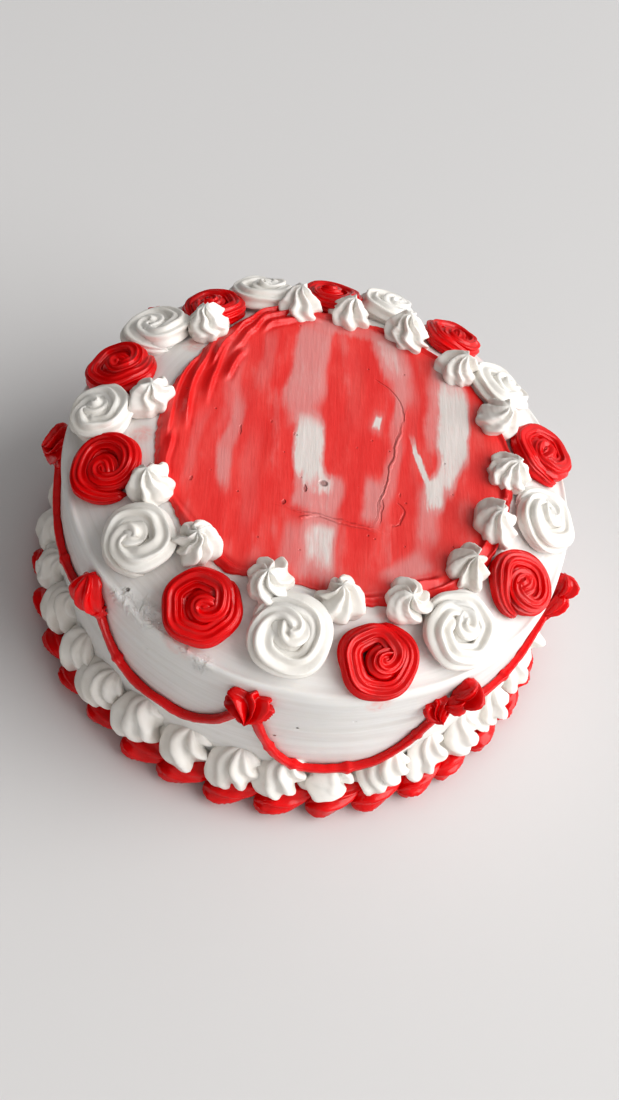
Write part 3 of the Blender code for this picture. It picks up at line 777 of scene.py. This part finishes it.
# star drops and the small roses on the side: lobed drops drawn to a leaning peak
dropShape = {
    "section": 84,
    "rows": 30,
    "foot": -0.0006,  # just inside the icing
    "starRadius": 0.0098,
    "starHeight": 0.0122,
    "starTwist": 0.8,
    "turnedBack": (2, 4, 9),  # these drops twist the other way
    "star": {"depth": 0.22, "low": 0.72, "sharp": 1.1, "patchy": 0.8, "uneven": 0.24,
             "profile": ((0, 0.84), (0.12, 0.95), (0.30, 1.0), (0.46, 0.97), (0.60, 0.86), (0.74, 0.68),
                         (0.88, 0.50), (1, 0.34))},
    "roseHeight": 0.0098,
    "roseTwist": 0.9,
    "rose": {"lobes": 7, "depth": 0.44, "low": 0.8, "sharp": 0.70, "patchy": 0.45, "uneven": 0.26,
             "profile": ((0, 0.86), (0.15, 0.98), (0.32, 1.0), (0.52, 0.90), (0.70, 0.72), (0.84, 0.50),
                         (0.94, 0.30), (1, 0.10))},
    "stroke": {"lobes": 6, "depth": 0.44, "sharp": 0.75, "patchy": 0.45, "uneven": 0.26, "twist": 0.6,
               "profile": ((0, 0.50), (0.08, 0.80), (0.22, 1.0), (0.50, 0.98), (0.75, 0.82), (0.92, 0.55),
                           (1, 0.34))},
    "strokeRows": 26,
    "strokeSection": 48,
}


def addDrop(bm, seat, wide, long, tall, star, twist, lean, seed):
    rings = []
    rows, section = dropShape["rows"], dropShape["section"]
    bend = Vector((lean[0], lean[1], 0))
    for k in range(rows):
        t = k / (rows - 1)
        share = along(star["profile"], t)
        turn = seed + twist * t**1.7 + 0.22 * waver(seed + 3, t * 3)
        shares = crested(section, star, turn, seed * 5.3, star["low"] + (1.4 - star["low"]) * ease(t * 1.4))
        ring = []
        for j, lobe in enumerate(shares):
            phi = math.tau * j / section
            dip = 1 - 0.7 * (1 - lobe) * t  # hollows run a little lower than the crests
            point = Vector((wide * share * lobe * math.cos(phi), long * share * lobe * math.sin(phi),
                            tall * t * dip + dropShape["foot"]))
            ring.append(seat @ (point + bend * t**2.2))
        rings.append(ring)
    peak = bend * 1.15 + Vector((0, 0, tall * 1.02))
    addPipe(bm, rings, seat @ Vector((0, 0, dropShape["foot"])), seat @ peak)


def makeStarDrop(number, degrees, distance):
    shape = dropShape
    radius = shape["starRadius"] * (1 + 0.06 * waver(number, 2.2))
    tall = shape["starHeight"] * (1 + 0.12 * waver(number, 4.4))
    lean = (0.0022 * waver(number, 6.6) - 0.0004, 0.0024 * waver(number, 8.8))
    way = -1 if number in shape["turnedBack"] else 1
    twist = way * shape["starTwist"] * (1 + 0.5 * waver(number, 1.1))
    star = dict(shape["star"], lobes=7 + number * 5 % 3 % 2)
    bm = bmesh.new()
    addDrop(bm, seatOnTop(degrees, distance), radius, radius, tall, star, twist, lean, number * 1.37)
    finishPiece(f"drop_{number:02d}", bm, pipedWhite, f"star_drop_{number:02d}", slot="white_icing")


for number, drop in enumerate(starDrops, 1):
    makeStarDrop(number, *drop)
print("star drops made")


def addTail(bm, seat, start, end, thick):
    # a small tail that the nozzle pulled away with it
    start, end = Vector(start), Vector(end)
    run = end - start
    up = Vector((0, 0, 1))
    side = run.cross(up).normalized()
    rings = []
    for k in range(9):
        t = k / 8
        at = start + run * t - up * 0.0016 * t * t
        ring = ringAround(at, side, up, [thick * (1 - 0.88 * t)] * 12)
        rings.append([seat @ point for point in ring])
    addPipe(bm, rings, seat @ start, seat @ (end + run * 0.1 - up * 0.0018))


def addStroke(bm, seat, start, end, size, arch, star, seed):
    # a short fat rope laid on the icing, ridged along its length
    start, end = Vector(start), Vector(end)
    run = end - start
    side = run.cross(Vector((0, 0, 1))).normalized()
    up = side.cross(run).normalized()
    rings = []
    for k in range(dropShape["strokeRows"]):
        t = k / (dropShape["strokeRows"] - 1)
        centre = start + run * t + up * arch * 4 * t * (1 - t)
        lobes = crested(dropShape["strokeSection"], star, seed + star["twist"] * t, seed * 2.7)
        share = size * along(star["profile"], t)
        ring = ringAround(centre, side, up, [share * lobe for lobe in lobes])
        rings.append([seat @ point for point in ring])
    addPipe(bm, rings, seat @ (start - run * 0.05), seat @ (end + run * 0.06))


# rose number: how far down and across its pulled tail ends
roseTails = {1: (0.0118, 0.0046), 2: (0.0122, 0.0006), 3: (0.0124, -0.0085), 4: (0.0110, -0.0070),
             5: (0.0102, 0.0040), 7: (0.0108, -0.0030)}
# strokes of some of the roses in mm: start and end (down, across, out), size, arch
roseStrokes = {
    1: (((-9.0, -4.4, 2.6), (4.4, 3.8, 3.4), 6.4, 2.4), ((2.8, 5.4, 2.2), (8.8, 0.6, 2.2), 3.3, 0.8)),
    3: (((-6.4, 8.6, 2.6), (0.4, -0.6, 3.6), 6.6, 2.4), ((-2.6, 2.6, 5.4), (1.0, -4.4, 3.6), 4.0, 1.0)),
    4: (((-8.4, 5.6, 2.4), (0.2, 0.6, 3.4), 5.6, 2.0), ((-2.0, 1.8, 4.4), (6.0, -6.0, 2.4), 4.6, 1.2)),
    8: (((-7.4, -4.2, 2.6), (4.6, 3.6, 3.2), 5.8, 1.8), ((3.0, 4.4, 2.0), (7.4, -0.6, 2.4), 3.2, 0.8)),
}


def makeSwagRose(number, degrees, z, halfLength, halfWidth, turn, low):
    shape = dropShape
    seat = seatOnSide(degrees, z)
    bm = bmesh.new()
    for k, (start, end, size, arch) in enumerate(roseStrokes.get(number, ())):
        start, end = Vector(start) / 1000, Vector(end) / 1000
        addStroke(bm, seat, start, end, size / 1000, arch / 1000, shape["stroke"], number * 2.3 + k)
    if number == 3:  # a small curled rose beside the smooth lump
        beside = seat @ Matrix.Translation((0.0034, -0.0060, 0.0))
        addDrop(bm, beside, 0.0060, 0.0060, 0.0084, shape["rose"], -1.6, (0.0014, -0.0010), 9.3)
    if number not in roseStrokes:
        turned = seat @ Matrix.Rotation(math.radians(turn), 4, "Z")
        twist = shape["roseTwist"] * (1 + 0.5 * waver(number, 7.7))
        lean = (0.0022, 0.0014 * waver(number, 3.3))
        addDrop(bm, turned, halfWidth, halfLength, shape["roseHeight"], shape["rose"], twist, lean,
                number * 1.9)
    if number in roseTails:
        down, across = roseTails[number]
        addTail(bm, seat, (0.0035, 0.5 * across, 0.0035), (down, across, 0.0040), 0.0021)
    finishPiece(f"rose_{number}", bm, pipedRed, f"swag_rose_{number}", slot="red_icing")


for number, rose in enumerate(swagRoses, 1):
    makeSwagRose(number, *rose)
print("swag roses made")

# strings of icing hung between the roses
stringShape = {
    "radius": 0.0019,
    "stations": 110,
    "section": 14,
    "sag": 3.2,  # power of the hanging curve: high is a flat belly with steep ends
    "traced": 400,  # steps that the even stations are picked from
    # lumps where the flow halted: which string, and share of its length
    "lumps": ((0, 0.27), (1, 0.22), (1, 0.36), (1, 0.55), (1, 0.83), (2, 0.5), (5, 0.4), (8, 0.6)),
}


def swagEnds(index):
    start, end = swagRoses[index][0], swagRoses[(index + 1) % len(swagRoses)][0]
    return start, end + (360 if end < start else 0)


def swagZ(index, degrees):
    start, end = swagEnds(index)
    share = 2 * (degrees - start) / (end - start) - 1
    nearer = swagRoses[index if share < 0 else (index + 1) % len(swagRoses)]
    low = swagRoses[index][5]
    return low + (nearer[1] - low) * abs(share) ** stringShape["sag"]


def makeString(index):
    shape = stringShape
    start, end = swagEnds(index)
    # places spread evenly along the curve, from inside one rose to inside the next
    trace = []
    for k in range(shape["traced"] + 1):
        degrees = start + (end - start) * (0.02 + 0.96 * k / shape["traced"])
        trace.append((cake["radius"] * math.radians(degrees), swagZ(index, degrees), degrees))
    lengths = [0.0]
    for a, b in zip(trace, trace[1:]):
        lengths.append(lengths[-1] + math.hypot(b[0] - a[0], b[1] - a[1]))
    line, j = [], 0
    for k in range(shape["stations"]):
        goal = lengths[-1] * k / (shape["stations"] - 1)
        while j < shape["traced"] - 1 and lengths[j + 1] < goal:
            j += 1
        line.append(trace[j][2])
    rings = []
    lumps = [share for which, share in shape["lumps"] if which == index]
    places = []
    for degrees in line:
        z = swagZ(index, degrees) + 0.00035 * waver(index + 5, degrees, 0.5)
        places.append(polar(cake["radius"] + shape["radius"] * 0.95, degrees, z))
    for k, (degrees, place) in enumerate(zip(line, places)):
        share = k / (shape["stations"] - 1)
        outward = polar(1.0, degrees)
        run = places[min(k + 2, len(places) - 1)] - places[max(k - 2, 0)]
        across = outward.cross(run).normalized()
        size = shape["radius"] * (1 + 0.10 * waver(index, share * 9) + 0.05 * waver(index + 30, share * 40))
        for lump in lumps:
            size *= 1 + 0.38 * math.exp(-((share - lump) / 0.012) ** 2)
        size *= 0.6 + 0.4 * min(1.0, 12 * min(share, 1 - share) + 0.3)
        rings.append(ringAround(place, outward * 0.95, across * 1.05, [size] * shape["section"]))
    bm = bmesh.new()
    pipe(bm, rings, places[0], places[-1])
    finishPiece(f"string_{index + 1}", bm, pipedRed, f"swag_string_{index + 1}", slot="red_icing")


for index in range(len(swagRoses)):
    makeString(index)
print("swag strings made")

# shell borders at the foot
shellShape = {
    "section": 48,
    "rows": 26,
    "whiteCount": 33,
    "whitePhase": 290.5,
    "whiteFoot": 0.0098,
    "whiteTall": 0.0222,
    "whiteWide": 0.0118,
    "whiteOut": 0.0112,
    "white": {"depth": 0.27, "sharp": 1.2, "patchy": 0.45, "uneven": 0.28,
              "profile": ((0, 0.34), (0.04, 0.60), (0.13, 0.87), (0.29, 1.0), (0.48, 1.0), (0.64, 0.92),
                          (0.78, 0.78), (0.89, 0.62), (0.96, 0.46), (1, 0.24))},
    "redCount": 35,
    "redPhase": 292.1,
    "redWide": 0.0128,
    "redRadius": 0.0072,
    "redOut": 0.0076,
    "red": {"lobes": 7, "depth": 0.24, "sharp": 0.60, "patchy": 0.45, "uneven": 0.12,
            "profile": ((0, 0.30), (0.05, 0.58), (0.14, 0.86), (0.28, 1.0), (0.50, 0.97), (0.72, 0.80),
                        (0.88, 0.56), (1, 0.26))},
}


def underStrings(degrees):
    # height of the lowest string over this azimuth, where no shell may reach
    limit = 0.09
    for index in range(len(swagRoses)):
        start, end = swagEnds(index)
        for turn in (0, 360):
            if start <= degrees % 360 + turn <= end:
                limit = min(limit, swagZ(index, degrees % 360 + turn))
    return limit


def addWhiteShell(bm, number):
    # an upright lobed drop, half sunk in the wall, twisted and with its tip drawn up to it
    shape = shellShape
    degrees = shape["whitePhase"] + 360 / shape["whiteCount"] * (number + 0.14 * waver(7, number * 1.7))
    outward, side, up = polar(1, degrees), polar(1, degrees + 90), Vector((0, 0, 1))
    base = polar(cake["radius"] + 0.0012, degrees)
    foot = shape["whiteFoot"] + 0.0010 * waver(8, number * 2.3)
    room = underStrings(degrees) - foot - 0.0005
    tall = min(shape["whiteTall"] * (1 + 0.08 * waver(9, number * 1.3)), room)
    wide = shape["whiteWide"] * (1 + 0.06 * waver(10, number * 1.9))
    out = shape["whiteOut"] * (1 + 0.06 * waver(11, number * 1.1))
    lean = 0.0030 + 0.0022 * waver(12, number * 2.9)
    twist = 1.5 + 1.0 * waver(13, number * 2.1)
    star = dict(shape["white"], lobes=6 + number * 5 % 3)
    rings = []
    for k in range(shape["rows"]):
        t = k / (shape["rows"] - 1)
        share = along(star["profile"], t)
        turn = twist * t + number * 1.3 + 0.3 * waver(number + 14, t * 3)
        shares = crested(shape["section"], star, turn, number * 4.1, 0.55 + 0.9 * t)
        tip = base - outward * 0.0022 * t + side * lean * t**1.6 + up * (foot + tall * t)
        rings.append(ringAround(tip, outward * out, side * wide, [share * lobe for lobe in shares]))
    peak = base - outward * 0.0026 + side * lean * 1.1 + up * (foot + tall * 1.02)
    addPipe(bm, rings, base + up * (foot - 0.0004), peak)


def addRedShell(bm, number):
    # a fat comma laid along the foot: round head low down, then a tail that climbs in behind the next one
    shape = shellShape
    degrees = shape["redPhase"] + 360 / shape["redCount"] * (number + 0.12 * waver(17, number * 1.7))
    size = shape["redRadius"] * (1 + 0.07 * waver(18, number * 1.3))
    star = shape["red"]
    rings, centres = [], []
    for k in range(shape["rows"]):
        t = k / (shape["rows"] - 1)
        at = degrees + math.degrees(shape["redWide"] * (2 * t - 0.95) / 0.112)
        centre = polar(cake["radius"] + shape["redOut"] - 0.0058 * t**1.3, at, 0.0046 + 0.0066 * t)
        outward, up = polar(1, at), Vector((0, 0, 1))
        shares = crested(shape["section"], star, 1.5 * t + number * 0.7, number * 2.9)
        thick = size * along(star["profile"], t)
        ring = ringAround(centre, outward, up * 0.94, [thick * lobe for lobe in shares])
        for point in ring:
            point.z = max(point.z, 0.0002)
        rings.append(ring)
        centres.append(centre)
    addPipe(bm, rings, centres[0] * 1.4 - centres[1] * 0.4, centres[-1] * 1.6 - centres[-2] * 0.6)


def makeShells():
    bm = bmesh.new()
    for number in range(shellShape["redCount"]):
        addRedShell(bm, number)
    finishPiece("red_shells", bm, pipedRed, "shells_red", slot="red_icing")
    bm = bmesh.new()
    for number in range(shellShape["whiteCount"]):
        addWhiteShell(bm, number)
    finishPiece("white_shells", bm, pipedWhite, "shells_white", slot="white_icing")


makeShells()
print("shell borders made")

# plain pale floor and soft studio light
studio = {
    "floor": (0.66, 0.66, 0.665),
    "sky": (1.0, 0.99, 0.98),
    "skyPower": (0.02, 0.76),  # from the left and from the right
    "keyPlace": (3.1, 0.0, 2.3),
    "keySize": 4.4,
    "keyPower": 154.0,
    "keyColour": (1.0, 0.98, 0.96),
    "fillPlace": (-0.5, -1.0, 0.6),
    "fillSize": 1.2,
    "fillPower": 1.4,
    "fillColour": (1.0, 0.92, 0.84),
    "aim": (0.0, 0.0, 0.05),
}


def addLight(name):
    lamp = bpy.data.lights.new(name, "AREA")
    lamp.shape = "DISK"
    lamp.size = studio[f"{name}Size"]
    lamp.energy = studio[f"{name}Power"]
    lamp.color = studio[f"{name}Colour"]
    light = bpy.data.objects.new(name, lamp)
    place = Vector(studio[f"{name}Place"])
    turned = (place - Vector(studio["aim"])).to_track_quat("Z", "Y").to_matrix().to_4x4()
    light.matrix_world = Matrix.Translation(place) @ turned
    bpy.context.scene.collection.objects.link(light)


def makeStudio():
    bm = bmesh.new()
    bmesh.ops.create_grid(bm, x_segments=1, y_segments=1, size=4.0)
    mesh = bpy.data.meshes.new("floor")
    bm.to_mesh(mesh)
    bm.free()
    floor = bpy.data.objects.new("floor", mesh)
    bpy.context.scene.collection.objects.link(floor)
    mesh.materials.append(newMaterial("paleFloor", studio["floor"], 0.6)[0])
    addLight("key")
    addLight("fill")
    world = bpy.data.worlds.new("studio")
    bpy.context.scene.world = world
    world.use_nodes = True
    tree = world.node_tree
    sky = tree.nodes["Background"]
    sky.inputs["Color"].default_value = (*studio["sky"], 1.0)
    ways = addNode(tree, "ShaderNodeSeparateXYZ", {
        "Vector": addNode(tree, "ShaderNodeTexCoord").outputs["Generated"]})
    tree.links.new(mapRange(tree, ways.outputs[0], -1.0, 1.0, *studio["skyPower"]), sky.inputs["Strength"])
    bpy.context.scene.view_settings.view_transform = "Standard"
    bpy.context.scene.view_settings.look = "Medium High Contrast"


makeStudio()
print("studio made")
